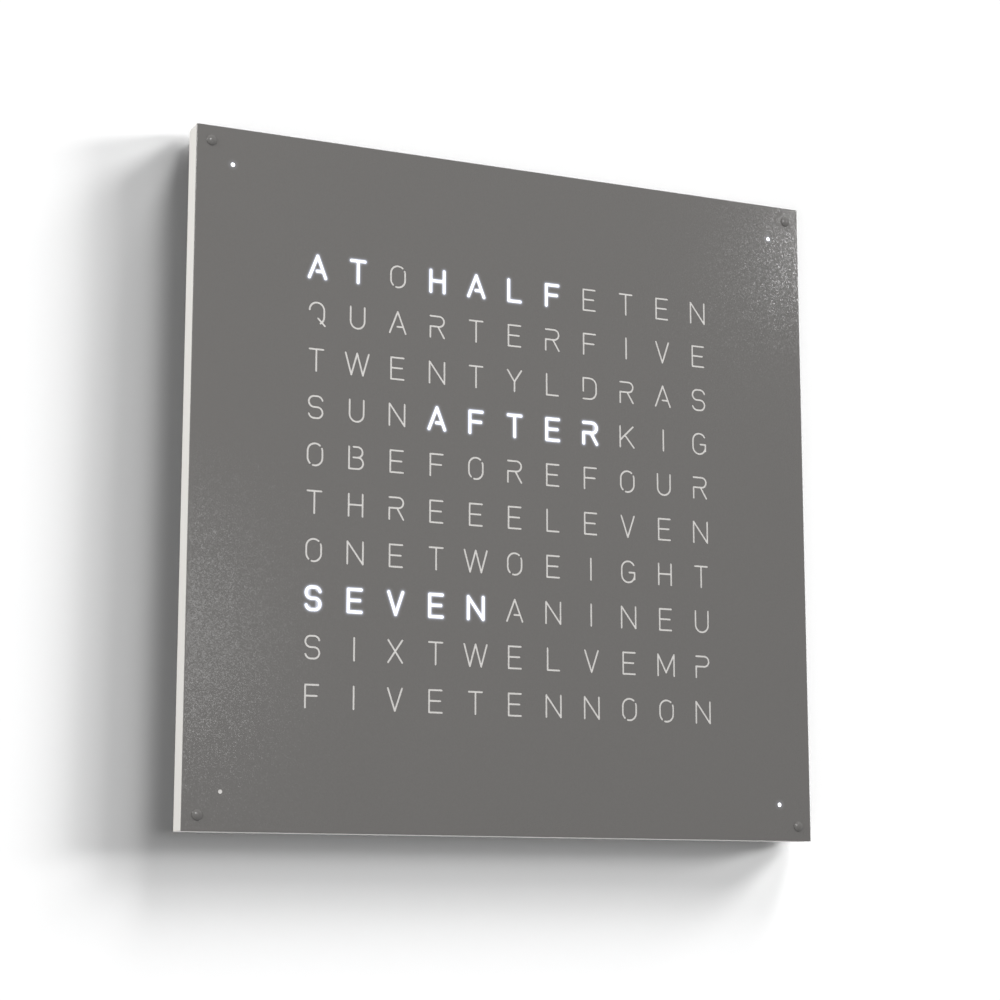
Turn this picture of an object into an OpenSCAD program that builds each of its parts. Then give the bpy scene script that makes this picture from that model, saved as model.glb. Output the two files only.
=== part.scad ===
// Word clock for a wall: a thin square steel face held by four magnets on a white
// lacquered case, with a lamp in a tapered light well of its own behind every letter.
// Each piece is drawn as the clock lies on its back: X to the right, Y up the face and
// Z from the wall to the viewer. upright() then hangs it, with the wall at y = 0.

/* [Face] */
// Width and height of the square face
face_w = 450; // [440:1:470]
// Thickness of the steel cover
cover_t = 1.5; // [1:0.1:3]
// Radius of the upright edges of cover and case
edge_r = 0.6; // [0.3:0.1:2]
// Chamfer along the front and rear edges of cover and case
edge_chamfer = 0.3; // [0.1:0.05:0.4]
// Distance of the minute dots from the edges
dot_inset = 24.5; // [22:0.5:28]
// Diameter of a minute dot
dot_d = 2.8; // [2:0.1:4]
// Distance of the corner studs from the edges
stud_inset = 10; // [8:0.5:11]
// Diameter of a stud's head
stud_head_d = 7; // [5:0.5:9]
// Height of the straight side of a stud's head
stud_side_h = 0.9; // [0.5:0.1:1.5]
// Height of the dome on a stud's head
stud_dome_h = 0.9; // [0.5:0.1:1.5]
// Diameter of a stud's shank
stud_shank_d = 4; // [3:0.5:4.5]
// Length of the shank inside the case
stud_reach = 7; // [5:0.5:8]
// Thickness of the opal diffuser film
film_t = 0.5; // [0.3:0.1:1]
// Diameter of the diffuser disc behind a minute dot
dot_film_d = 7; // [5:0.5:7.5]

/* [Letter grid] */
// Number of letters in a row
columns = 11; // [7:1:11]
// Number of rows
rows = 10; // [6:1:10]
// Distance of the first and last letter of a row from the face's edges
side_margin = 83.5; // [80:0.5:90]
// Distance of the first and last row from the face's edges
row_margin = 85.5; // [83:0.5:92]
// Wall left between two light wells at the face
well_wall = 4.3; // [3:0.1:8]
// Diameter of a light well at its lamp
well_lamp_d = 12; // [9:0.5:16]
// Width of the panel's margin outside the outer wells
well_margin = 12; // [10:0.5:14]

/* [Case] */
// Depth of the white case
case_depth = 14.5; // [14:0.5:18]
// Width of the ledge that holds the light well panel
ledge_w = 2; // [1.5:0.5:4]
// Thickness of that ledge
ledge_t = 1.5; // [1:0.1:2.5]
// Wall left between two spaces milled into the case
inner_wall = 6; // [4:0.5:8]
// Wall left between the cable recess and the underside
lower_wall = 6; // [4:0.5:8]
// Wall that the push buttons pass through
button_wall = 8; // [6:0.5:10]
// Depth of the spaces milled for the electronics
pocket_depth = 11.5; // [11:0.1:12]
// Depth of the milled cable channels
channel_depth = 5; // [4.5:0.5:6]
// Clearance of a part that is laid in a milled space
lay_gap = 0.3; // [0.2:0.05:0.5]

/* [Back] */
// Distance of the back panel from the case's edges
panel_inset = 5; // [3:0.5:5.5]
// Thickness of the back panel
panel_t = 4; // [3.5:0.5:6]
// Distance of the panel screws from the panel's edges
screw_inset = 30; // [28:0.5:34]
// Distance of a panel screw from the middle of its side
screw_offset = 120; // [100:1:126]
// Diameter of a panel screw
screw_d = 3.4; // [3:0.1:4]
// Diameter of a panel screw's head
screw_head_d = 7; // [6:0.1:8]
// Length of a panel screw
screw_length = 14; // [10:1:16]
// Distance between the two keyhole plates
keyhole_spacing = 300; // [240:1:310]
// Width of a keyhole plate
keyhole_w = 18; // [16:0.5:22]
// Height of a keyhole plate
keyhole_h = 30; // [29:0.5:32]
// Thickness of a keyhole plate
keyhole_t = 1.5; // [1:0.1:2]
// Diameter of the entry for a wall screw's head
keyhole_entry_d = 9; // [8:0.1:9.5]
// Width of the slot for a wall screw's shank
keyhole_slot_w = 4.6; // [4:0.1:5]
// Travel of a wall screw from the entry to the slot's end
keyhole_drop = 9; // [7:0.5:10]
// Depth behind a keyhole plate for a wall screw's head
keyhole_depth = 6.5; // [5.5:0.5:8]

/* [Electronics] */
// Thickness of the circuit boards
board_t = 1.6; // [1:0.1:2]
// Width of a lamp
lamp_w = 5; // [3:0.1:6]
// Height of a lamp
lamp_h = 1.6; // [1:0.1:2]
// Width of the control board
control_w = 156; // [150:1:160]
// Height of the control board
control_h = 24; // [23.5:0.1:25]
// Width of a minute lamp's board
minute_board_w = 18; // [16:0.5:19]
// Diameter of the light hole of a minute dot
dot_well_d = 8; // [7.5:0.5:9]
// Diameter of a magnet
magnet_d = 8; // [6:0.5:8]
// Thickness of a magnet
magnet_t = 3; // [2:0.5:3.5]
// Width of the power jack
jack_w = 9; // [8.5:0.1:10]
// Length of the power jack
jack_length = 14.4; // [12:0.1:15]
// Height of the power jack
jack_h = 9; // [8.8:0.1:9.2]
// Diameter of the power jack's mouth
jack_bore_d = 5.7; // [5:0.1:6.5]
// Diameter of the power jack's contact pin
jack_pin_d = 2; // [1.6:0.1:2.5]
// Width of the recess for the plug of the power cord
recess_w = 18; // [15:0.5:22]
// Diameter of the coin cell
cell_d = 20; // [16:0.5:20]
// Thickness of the coin cell
cell_t = 3.2; // [1.6:0.1:3.2]

/* [Buttons] */
// Height of the row of buttons above the middle of the face
button_row_y = -110; // [-115:1:-100]
// Distance between buttons
button_pitch = 16; // [12:0.5:17]
// Diameter of a button
button_d = 5; // [4:0.1:6]
// Height of a button above the side of the case
button_proud = 1; // [0.8:0.1:2]
// Distance that a button travels
button_travel = 0.5; // [0.2:0.05:0.6]
// Width of the collar that keeps a button in
button_collar_w = 1; // [0.6:0.1:1.4]
// Thickness of that collar
button_collar_t = 1.2; // [0.8:0.1:2]
// Width of a switch
switch_w = 6; // [5:0.1:7]
// Height of a switch's body
switch_h = 3.5; // [3:0.1:4]
// Diameter of a switch's plunger
plunger_d = 3.4; // [2:0.1:3.6]
// Height of a plunger above its switch
plunger_h = 3.7; // [2:0.1:5]
// Running clearance of buttons and plungers in their holes
slide_gap = 0.08; // [0.05:0.01:0.1]

/* [Hidden] */
$fn = 48;

steel_grey = "#71706e";
lacquer_white = "#f2f0ea";
opal = "#e9ecec";
wells_white = "#f6f5f0";
board_green = "#1f5a3c";
board_white = "#e9e9e4";
chip_black = "#26262a";
metal = "#c3c5c8";
hardboard = "#5b4a3a";
lamp_yellow = "#f0dc8c";

// Allowance that a cut runs past a surface
cut = 1;
// Close seat of a fastener or shank in its hole
seat_gap = 0.05;
// Play of a stud's shank in its socket
socket_gap = 0.3;
// Gap between the wells and the film
film_gap = 0.1;

well_z = panel_t + board_t;
cover_z = panel_t + case_depth;
film_z = cover_z - film_t;
ledge_z = cover_z - ledge_t;
well_top_z = film_z - film_gap;
field_w = face_w - 2 * side_margin;
field_h = face_w - 2 * row_margin;
column_pitch = field_w / (columns - 1);
row_pitch = field_h / (rows - 1);
well_front_d = min(column_pitch, row_pitch) - well_wall;
window_w = field_w + well_front_d + 2 * well_margin;
window_h = field_h + well_front_d + 2 * well_margin;
led_board_w = window_w - 2 * lay_gap;
led_board_h = window_h - 2 * lay_gap;
panel_w = face_w - 2 * panel_inset;

// Minute lamps and magnets
minute_seat_h = 8;
minute_seat_z = panel_t + minute_seat_h;
magnet_top_z = cover_z - stud_reach;
wire_w = 3;
wire_t = 0.8;
wire_rise_at = 4;
wire_pad_inset = 4;
wire_end = min(led_board_w, led_board_h) / 2 - wire_pad_inset;
corner_notch = 10;

// Control board in its pocket below the window
control_gap = 1;
control_top = -window_h / 2 - inner_wall - control_gap;
control_bottom = control_top - control_h;
pocket_top = control_top + control_gap;
pocket_bottom = control_bottom - control_gap;
pocket_w = control_w + 4;
recess_bottom = -face_w / 2 + lower_wall;
jack_axis_z = well_z + jack_h / 2;
jack_collar = 3;
jack_chamber_gap = 0.3;
jack_bore_depth = jack_length - 2.4;
jack_pin_recess = jack_collar + 0.2;

// Places of the parts along the control board, from its middle
capacitor_x = -62;
cell_x = -34;
regulator_x = 14;
chip_x = 34;
crystal_x = 56;
holder_wall = 1.3;
holder_floor = 1;

// Flat cables and their sockets
ribbon_w = 20;
button_cable_w = 6;
cable_t = 0.9;
cable_z = well_z + 0.5;
socket_depth = 5;
socket_h = 2;
socket_rim = 1;
socket_inset = 1;
socket_grip = 2;
notch_h = 3;
channel_play = 1.5;

// Buttons on the right-hand side
side_x = face_w / 2;
button_wall_x = side_x - button_wall;
switch_top_x = button_wall_x - button_collar_t - plunger_h;
button_board_x = switch_top_x - switch_h;
button_z = panel_t + pocket_depth / 2;
button_board_end = 10.5;
button_board_l = 3 * button_pitch + 2 * button_board_end;
plunger_root = 2;
plunger_room = 0.3;

// Keyhole plates, midway between the window and the panel's edge
keyhole_y = (window_h + panel_w) / 4;
keyhole_entry_y = keyhole_y - 4;
keyhole_room = 1.5;
keyhole_screw_y = keyhole_h / 2 - 2.6;
small_screw_d = 2.4;
small_head_d = 4.6;
small_head_h = 1.1;

module upright() {
  rotate([90, 0, 0]) children();
}

module at_corners(inset) {
  for (sx = [-1, 1], sy = [-1, 1]) {
    translate([sx * (face_w / 2 - inset), sy * (face_w / 2 - inset), 0]) children();
  }
}

module at_cells() {
  for (c = [0 : columns - 1], r = [0 : rows - 1]) {
    translate([c * column_pitch - field_w / 2, field_h / 2 - r * row_pitch, 0]) children();
  }
}

// Places for what lies along the diagonal, with X from a corner dot to the middle
module along_diagonals() {
  for (quarter = [0 : 3]) {
    rotate(90 * quarter)
      translate([face_w / 2 - dot_inset, face_w / 2 - dot_inset, 0])
        rotate(225) children();
  }
}

module at_panel_screws() {
  far = panel_w / 2 - screw_inset;
  for (sx = [-1, 1], sy = [-1, 1]) {
    translate([sx * far, sy * screw_offset, 0]) children();
    translate([sx * screw_offset, sy * far, 0]) children();
  }
}

module at_keyholes() {
  for (sx = [-1, 1]) {
    translate([sx * keyhole_spacing / 2, keyhole_y, 0]) children();
  }
}

module at_control_screws() {
  for (sx = [-1, 1], y = [control_top - 5, control_bottom + 5]) {
    translate([sx * (control_w / 2 - 4), y, 0]) children();
  }
}

// A place on a button's axis, with Z pointing out of the side of the case
module at_button(i, x) {
  translate([x, button_row_y + (1.5 - i) * button_pitch, button_z])
    rotate([0, 90, 0]) children();
}

module box(w, h, t) {
  translate([-w / 2, -h / 2, 0]) cube([w, h, t]);
}

module rounded_rect(w, h, r) {
  square([w - 2 * r, h], center = true);
  square([w, h - 2 * r], center = true);
  for (sx = [-1, 1], sy = [-1, 1]) {
    translate([sx * (w / 2 - r), sy * (h / 2 - r)]) circle(r);
  }
}

// A square block with round upright edges and a chamfer round its front and rear
module softened_block(w, depth) {
  module chamfered_side() {
    rotate([90, 0, 0]) linear_extrude(w + 2 * cut, center = true) polygon([
      [-w / 2, edge_chamfer], [-w / 2 + edge_chamfer, 0],
      [w / 2 - edge_chamfer, 0], [w / 2, edge_chamfer],
      [w / 2, depth - edge_chamfer], [w / 2 - edge_chamfer, depth],
      [-w / 2 + edge_chamfer, depth], [-w / 2, depth - edge_chamfer]
    ]);
  }
  intersection() {
    linear_extrude(depth) rounded_rect(w, w, edge_r);
    chamfered_side();
    rotate(90) chamfered_side();
  }
}

// An upright slot with round ends, from the origin to the given height
module slot_2d(w, l) {
  circle(d = w);
  translate([0, l]) circle(d = w);
  translate([-w / 2, 0]) square([w, l]);
}

// The cross that a screwdriver turns, sunk from z = 0
module cross_recess(w, depth) {
  arm = 0.24 * w;
  translate([0, 0, -cut]) {
    box(w, arm, depth + cut);
    box(arm, w, depth + cut);
  }
}

// A countersunk screw with its head's flat face at z = 0 and its tip up
module countersunk_screw(d, head_d, head_h, length) {
  difference() {
    union() {
      cylinder(d1 = head_d, d2 = d, h = head_h);
      cylinder(d = d, h = length - d / 2);
      translate([0, 0, length - d / 2]) cylinder(d1 = d, d2 = 0.4, h = d / 2);
    }
    cross_recess(0.58 * head_d, 0.6 * head_h);
  }
}

// The hole for such a screw
module countersunk_hole(d, head_d, head_h, length) {
  grow = 2 * seat_gap;
  cylinder(d1 = head_d + grow, d2 = d + grow, h = head_h);
  translate([0, 0, -cut]) cylinder(d = head_d + grow, h = cut);
  cylinder(d = d + grow, h = length);
}

// Steel sheet, laser cut and powder coated, with the dots' and the studs' holes
module front_cover() {
  color(steel_grey) upright() difference() {
    translate([0, 0, cover_z]) softened_block(face_w, cover_t);
    at_corners(dot_inset) cylinder(d = dot_d, h = cover_z + cover_t + cut);
    at_corners(stud_inset) cylinder(d = stud_shank_d + 2 * seat_gap, h = cover_z + cover_t + cut);
  }
}

// Turned steel studs, set in the cover; their ends are what the magnets hold
module cover_studs() {
  head_r = stud_head_d / 2;
  dome_r = (head_r * head_r + stud_dome_h * stud_dome_h) / (2 * stud_dome_h);
  front = cover_z + cover_t;
  color(steel_grey) upright() at_corners(stud_inset) {
    translate([0, 0, magnet_top_z]) cylinder(d = stud_shank_d, h = front - magnet_top_z);
    translate([0, 0, front]) cylinder(d = stud_head_d, h = stud_side_h);
    translate([0, 0, front + stud_side_h]) intersection() {
      cylinder(d = stud_head_d, h = stud_dome_h);
      translate([0, 0, stud_dome_h - dome_r]) sphere(dome_r, $fn = 96);
    }
  }
}

// Opal film bonded to the back of the cover behind all letters
module letter_diffuser() {
  w = window_w - 2 * ledge_w - 1;
  h = window_h - 2 * ledge_w - 1;
  color(opal) upright() translate([0, 0, film_z]) box(w, h, film_t);
}

// Discs of the same film, one behind each minute dot
module minute_diffusers() {
  color(opal) upright() at_corners(dot_inset)
    translate([0, 0, film_z]) cylinder(d = dot_film_d, h = film_t);
}

module housing_cuts() {
  // Window with a ledge at the front
  translate([0, 0, panel_t - cut]) box(window_w, window_h, case_depth - ledge_t + cut);
  translate([0, 0, panel_t]) box(window_w - 2 * ledge_w, window_h - 2 * ledge_w, case_depth + cut);
  // Sockets of the studs, with the magnets' seats behind them
  at_corners(stud_inset) {
    translate([0, 0, panel_t]) cylinder(d = stud_shank_d + 2 * socket_gap, h = case_depth + cut);
    translate([0, 0, panel_t - cut])
      cylinder(d = magnet_d + 2 * seat_gap, h = magnet_top_z - panel_t + cut);
  }
  // Light holes and lamp seats of the minute dots, with a channel to the window
  at_corners(dot_inset) {
    translate([0, 0, panel_t]) cylinder(d = dot_well_d, h = case_depth + cut);
    translate([0, 0, panel_t - cut])
      box(minute_board_w + 2 * lay_gap, minute_board_w + 2 * lay_gap, minute_seat_z - panel_t + cut);
  }
  channel_l = (face_w / 2 - dot_inset - min(window_w, window_h) / 2) * sqrt(2) + 2;
  along_diagonals() translate([0, -wire_w / 2 - channel_play, panel_t - cut])
    cube([channel_l, wire_w + 2 * channel_play, channel_depth + cut]);
  // Space for the control board, a slot for its ribbon and the recess for the plug
  translate([-pocket_w / 2, pocket_bottom, panel_t - cut])
    cube([pocket_w, pocket_top - pocket_bottom, pocket_depth + cut]);
  translate([-ribbon_w / 2 - channel_play, pocket_top - 1, panel_t - cut])
    cube([ribbon_w + 2 * channel_play, inner_wall + 2, channel_depth + cut]);
  translate([-recess_w / 2, recess_bottom, panel_t - cut])
    cube([recess_w, pocket_bottom - recess_bottom + 1, pocket_depth + cut]);
  // Space for the button board, holes for the buttons and a channel for the cable
  space_x = button_board_x - board_t - lay_gap / 2;
  space_l = button_board_l + 2 * lay_gap;
  translate([space_x, button_row_y - space_l / 2, panel_t - cut])
    cube([button_wall_x - space_x, space_l, pocket_depth + cut]);
  for (i = [0 : 3]) {
    at_button(i, button_wall_x - cut) cylinder(d = button_d + 2 * slide_gap, h = button_wall + 2 * cut);
  }
  translate([window_w / 2 - 1, button_row_y - button_cable_w / 2 - channel_play, panel_t - cut])
    cube([space_x - window_w / 2 + 2, button_cable_w + 2 * channel_play, channel_depth + cut]);
  // Room for the heads of the wall screws, and the panel screws' holes
  at_keyholes() translate([0, keyhole_entry_y - keyhole_y, panel_t - cut])
    linear_extrude(keyhole_depth + keyhole_t - panel_t + cut)
      slot_2d(keyhole_entry_d + 2 * keyhole_room, keyhole_drop);
  at_panel_screws() cylinder(d = screw_d + 2 * seat_gap, h = screw_length + 1);
}

// Medium-density fibreboard, milled from behind and lacquered white
module housing() {
  color(lacquer_white) upright() difference() {
    translate([0, 0, panel_t]) softened_block(face_w, case_depth);
    housing_cuts();
  }
}

module stud_magnets() {
  color(metal) upright() at_corners(stud_inset)
    translate([0, 0, magnet_top_z - magnet_t]) cylinder(d = magnet_d, h = magnet_t);
}

// Moulded grid that keeps the light of each letter to itself: every well is a cone
// that widens from its lamp to the film, and the rim hooks behind the case's ledge
module light_well_panel() {
  depth = well_top_z - well_z;
  over = cut * (well_front_d - well_lamp_d) / depth;
  notch_side = socket_depth + socket_inset + 1;
  color(wells_white) upright() difference() {
    union() {
      translate([0, 0, well_z]) box(led_board_w, led_board_h, ledge_z - well_z);
      translate([0, 0, well_z])
        box(window_w - 2 * ledge_w - 2 * lay_gap, window_h - 2 * ledge_w - 2 * lay_gap, depth);
    }
    at_cells() translate([0, 0, well_z - cut])
      cylinder(d1 = well_lamp_d - over, d2 = well_front_d + over, h = depth + 2 * cut);
    // Room on the lamp board for the wires and for the two flat cables
    for (sx = [-1, 1], sy = [-1, 1]) {
      translate([sx * window_w / 2, sy * window_h / 2, well_z - cut])
        box(2 * corner_notch, 2 * corner_notch, notch_h + cut);
    }
    translate([0, -window_h / 2, well_z - cut])
      box(ribbon_w + 2 * socket_rim + 1, 2 * notch_side, notch_h + cut);
    translate([window_w / 2, button_row_y, well_z - cut])
      box(2 * notch_side, button_cable_w + 2 * socket_rim + 1, notch_h + cut);
  }
}

module led_board() {
  color(board_white) upright() translate([0, 0, panel_t]) box(led_board_w, led_board_h, board_t);
}

// A surface-mount lamp with a round dish of phosphor
module lamp() {
  difference() {
    box(lamp_w, lamp_w, lamp_h);
    translate([0, 0, lamp_h - 0.3]) cylinder(d = 0.8 * lamp_w, h = 0.3 + cut);
  }
}

module leds() {
  color(lamp_yellow) upright() at_cells() translate([0, 0, well_z]) lamp();
}

module minute_boards() {
  color(board_white) upright() at_corners(dot_inset)
    translate([0, 0, minute_seat_z - board_t]) box(minute_board_w, minute_board_w, board_t);
}

module minute_leds() {
  color(lamp_yellow) upright() at_corners(dot_inset) translate([0, 0, minute_seat_z]) lamp();
}

// Flat two-core wires from the lamp board's corners up to the minute lamps
module minute_wires() {
  run = (face_w / 2 - dot_inset - wire_end) * sqrt(2);
  rise = minute_seat_z - board_t - well_z;
  color("white") upright() along_diagonals() translate([wire_rise_at, -wire_w / 2, well_z]) {
    cube([run - wire_rise_at, wire_w, wire_t]);
    cube([wire_t, wire_w, rise]);
  }
}

module control_board() {
  color(board_green) upright() difference() {
    translate([-control_w / 2, control_bottom, panel_t]) cube([control_w, control_h, board_t]);
    at_control_screws() cylinder(d = 3.2, h = well_z + cut);
  }
}

module at_control(x) {
  translate([x, (control_top + control_bottom) / 2, well_z]) children();
}

// Chip with fourteen leads on each side
module microcontroller() {
  chip_w = 17.9;
  chip_h = 7.5;
  chip_t = 2;
  chip_rise = 0.3;
  mark_depth = 0.4;
  lead_w = 0.5;
  lead_l = 1.2;
  lead_pitch = 1.27;
  color(chip_black) upright() at_control(chip_x) {
    difference() {
      translate([0, 0, chip_rise]) box(chip_w, chip_h, chip_t);
      translate([-chip_w / 2, 0, chip_rise + chip_t - mark_depth]) cylinder(d = 2, h = cut);
    }
    for (k = [-6.5 : 6.5], s = [-1, 1]) {
      translate([k * lead_pitch, s * chip_h / 2, 0]) box(lead_w, lead_l, 0.5);
      translate([k * lead_pitch, s * (chip_h / 2 + 0.75 * lead_l), 0]) box(lead_w, lead_l, 0.25);
    }
  }
}

module quartz_crystal() {
  can_w = 10.2;
  can_h = 3.8;
  can_t = 3.5;
  can_r = 1.8;
  flange = 0.6;
  color(metal) upright() at_control(crystal_x) {
    linear_extrude(flange) rounded_rect(can_w + 2 * flange, can_h + 2 * flange, can_r + flange);
    linear_extrude(can_t) rounded_rect(can_w, can_h, can_r);
  }
}

// Three-legged regulator with its cooling tab soldered down
module voltage_regulator() {
  body_w = 6.5;
  body_h = 3.5;
  body_t = 1.6;
  leg_w = 0.7;
  leg_l = 2.4;
  leg_t = 0.4;
  leg_pitch = 2.3;
  tab_w = 3;
  leg_y = body_h / 2 + 0.75;
  color(chip_black) upright() at_control(regulator_x) {
    translate([0, 0, leg_t / 2]) box(body_w, body_h, body_t);
    translate([0, leg_y, 0]) box(tab_w, leg_l, leg_t);
    for (k = [-1 : 1]) {
      translate([k * leg_pitch, -leg_y, 0]) box(leg_w, leg_l, leg_t);
    }
  }
}

module smoothing_capacitor() {
  can_d = 6.3;
  can_l = 11;
  lip = 1.6;
  groove_w = 0.8;
  groove_depth = 0.35;
  color(metal) upright() at_control(capacitor_x) translate([0, can_l / 2, can_d / 2]) rotate([90, 0, 0]) {
    cylinder(d = can_d, h = lip);
    translate([0, 0, lip]) cylinder(d = can_d - 2 * groove_depth, h = groove_w);
    translate([0, 0, lip + groove_w]) cylinder(d = can_d, h = can_l - lip - groove_w);
  }
}

// Open cup that grips the cell's edge, with a slot to push the cell out
module coin_cell_holder() {
  slot_w = 6;
  lip = 0.4;
  color(chip_black) upright() at_control(cell_x) difference() {
    cylinder(d = cell_d + 2 * holder_wall, h = holder_floor + cell_t + lip);
    translate([0, 0, holder_floor]) {
      cylinder(d = cell_d + 2 * lay_gap, h = cell_t + cut);
      box(slot_w, cell_d + 4 * holder_wall, cell_t + cut);
    }
  }
}

// Cell with its smaller pole towards the face
module coin_cell() {
  pole_t = 0.6;
  pole_inset = 1.2;
  color(metal) upright() at_control(cell_x) translate([0, 0, holder_floor]) {
    cylinder(d = cell_d, h = cell_t - pole_t);
    translate([0, 0, cell_t - pole_t]) cylinder(d = cell_d - 2 * pole_inset, h = pole_t);
  }
}

// Barrel jack that faces down into the plug's recess
module power_jack() {
  color(chip_black) upright() difference() {
    translate([-jack_w / 2, control_bottom, well_z]) cube([jack_w, jack_length, jack_h]);
    translate([0, control_bottom, jack_axis_z]) rotate([-90, 0, 0]) {
      translate([0, 0, -cut]) cylinder(d = jack_bore_d, h = jack_collar + cut);
      translate([0, 0, jack_collar])
        cylinder(d = jack_bore_d + 2 * jack_chamber_gap, h = jack_bore_depth - jack_collar);
    }
  }
}

module jack_pin() {
  color(metal) upright() translate([0, control_bottom + jack_pin_recess, jack_axis_z])
    rotate([-90, 0, 0]) cylinder(d = jack_pin_d, h = jack_bore_depth - jack_pin_recess);
}

// Socket for a flat cable, with its slot open towards +Y and its back at y = 0
module cable_socket(w) {
  difference() {
    translate([-w / 2 - socket_rim, 0, 0]) cube([w + 2 * socket_rim, socket_depth, socket_h]);
    translate([-w / 2 - seat_gap, socket_depth - socket_grip, cable_z - well_z - seat_gap])
      cube([w + 2 * seat_gap, socket_grip + cut, cable_t + 2 * seat_gap]);
  }
}

// Two sockets on the ribbon and one on the buttons' cable
module ribbon_sockets() {
  color(chip_black) upright() translate([0, 0, well_z]) {
    translate([0, -led_board_h / 2 + socket_inset + socket_depth, 0]) rotate(180) cable_socket(ribbon_w);
    translate([0, control_top - socket_inset - socket_depth, 0]) cable_socket(ribbon_w);
    translate([led_board_w / 2 - socket_inset - socket_depth, button_row_y, 0])
      rotate(-90) cable_socket(button_cable_w);
  }
}

module led_ribbon() {
  from_y = control_top - socket_inset - socket_grip;
  to_y = -led_board_h / 2 + socket_inset + socket_grip;
  color("gray") upright() translate([-ribbon_w / 2, from_y, cable_z])
    cube([ribbon_w, to_y - from_y, cable_t]);
}

module button_cable() {
  from_x = led_board_w / 2 - socket_inset - socket_grip;
  color("gray") upright() translate([from_x, button_row_y - button_cable_w / 2, cable_z])
    cube([button_board_x - board_t - from_x, button_cable_w, cable_t]);
}

// Board that stands against the inner wall of its space, facing the side of the case
module button_board() {
  color(board_green) upright()
    translate([button_board_x - board_t, button_row_y - button_board_l / 2, panel_t])
      cube([board_t, button_board_l, pocket_depth]);
}

module switch_bodies() {
  color(chip_black) upright() for (i = [0 : 3]) {
    at_button(i, button_board_x) difference() {
      box(switch_w, switch_w, switch_h);
      translate([0, 0, switch_h - plunger_root - button_travel - plunger_room])
        cylinder(d = plunger_d + 2 * slide_gap, h = switch_h);
    }
  }
}

// Turned button with a collar behind the case's wall and a softened front edge
module button(i) {
  tip = 0.5;
  color(metal) upright() at_button(i, button_wall_x - button_collar_t) {
    cylinder(d = button_d + 2 * button_collar_w, h = button_collar_t);
    cylinder(d = button_d, h = button_collar_t + button_wall + button_proud - tip);
    translate([0, 0, button_collar_t + button_wall + button_proud - tip])
      cylinder(d1 = button_d, d2 = button_d - 2 * tip, h = tip);
  }
}

module plunger(i) {
  color(chip_black) upright() at_button(i, switch_top_x - plunger_root)
    cylinder(d = plunger_d, h = plunger_root + plunger_h);
}

// Hardboard panel, proud of the case so that the clock stands off the wall
module back_panel() {
  plug_notch = pocket_bottom + panel_w / 2;
  color(hardboard) upright() difference() {
    box(panel_w, panel_w, panel_t);
    at_panel_screws() countersunk_hole(screw_d, screw_head_d, 2.4, panel_t + cut);
    at_keyholes() {
      translate([0, 0, -cut])
        box(keyhole_w + 2 * seat_gap, keyhole_h + 2 * seat_gap, keyhole_t + cut);
      translate([0, keyhole_entry_y - keyhole_y, 0]) linear_extrude(panel_t + cut)
        slot_2d(keyhole_entry_d + 2 * keyhole_room, keyhole_drop);
      for (s = [-1, 1]) {
        translate([0, s * keyhole_screw_y, 0])
          cylinder(d = small_screw_d + 2 * seat_gap, h = panel_t + cut);
      }
    }
    at_control_screws() translate([0, 0, 0.5]) cylinder(d = 2.6, h = panel_t);
    translate([-recess_w / 2, -panel_w / 2 - cut, -cut])
      cube([recess_w, plug_notch + cut, panel_t + 2 * cut]);
  }
}

module panel_screws() {
  color(metal) upright() at_panel_screws() countersunk_screw(screw_d, screw_head_d, 2.4, screw_length);
}

// Pan-head screws that hold the control board on the back panel
module control_screws() {
  head_h = 1.8;
  color(metal) upright() at_control_screws() {
    translate([0, 0, 0.6]) cylinder(d = 2.5, h = well_z);
    translate([0, 0, well_z]) difference() {
      cylinder(d = 5, h = head_h);
      translate([0, 0, head_h]) rotate([180, 0, 0]) cross_recess(3.2, 0.8);
    }
  }
}

// Steel plates, flush in the back panel, each with a keyhole and two screw holes
module keyhole_plates() {
  color(metal) upright() at_keyholes() difference() {
    box(keyhole_w, keyhole_h, keyhole_t);
    translate([0, keyhole_entry_y - keyhole_y, -cut]) linear_extrude(keyhole_t + 2 * cut) {
      circle(d = keyhole_entry_d);
      slot_2d(keyhole_slot_w, keyhole_drop);
    }
    for (s = [-1, 1]) {
      translate([0, s * keyhole_screw_y, 0])
        countersunk_hole(small_screw_d, small_head_d, small_head_h, keyhole_t + cut);
    }
  }
}

module keyhole_screws() {
  color(metal) upright() at_keyholes() for (s = [-1, 1]) {
    translate([0, s * keyhole_screw_y, 0])
      countersunk_screw(small_screw_d, small_head_d, small_head_h, panel_t);
  }
}

front_cover();
cover_studs();
letter_diffuser();
minute_diffusers();
housing();
stud_magnets();
light_well_panel();
led_board();
leds();
minute_boards();
minute_leds();
minute_wires();
control_board();
microcontroller();
quartz_crystal();
voltage_regulator();
smoothing_capacitor();
coin_cell_holder();
coin_cell();
power_jack();
jack_pin();
ribbon_sockets();
led_ribbon();
button_cable();
button_board();
switch_bodies();
button(0);  // hours_button
button(1);  // minutes_button
button(2);  // mode_button
button(3);  // brightness_button
plunger(0);  // hours_plunger
plunger(1);  // minutes_plunger
plunger(2);  // mode_plunger
plunger(3);  // brightness_plunger
back_panel();
panel_screws();
control_screws();
keyhole_plates();
keyhole_screws();
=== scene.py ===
import math

import bmesh
import bpy
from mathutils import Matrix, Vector
from mathutils.geometry import delaunay_2d_cdt


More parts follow.
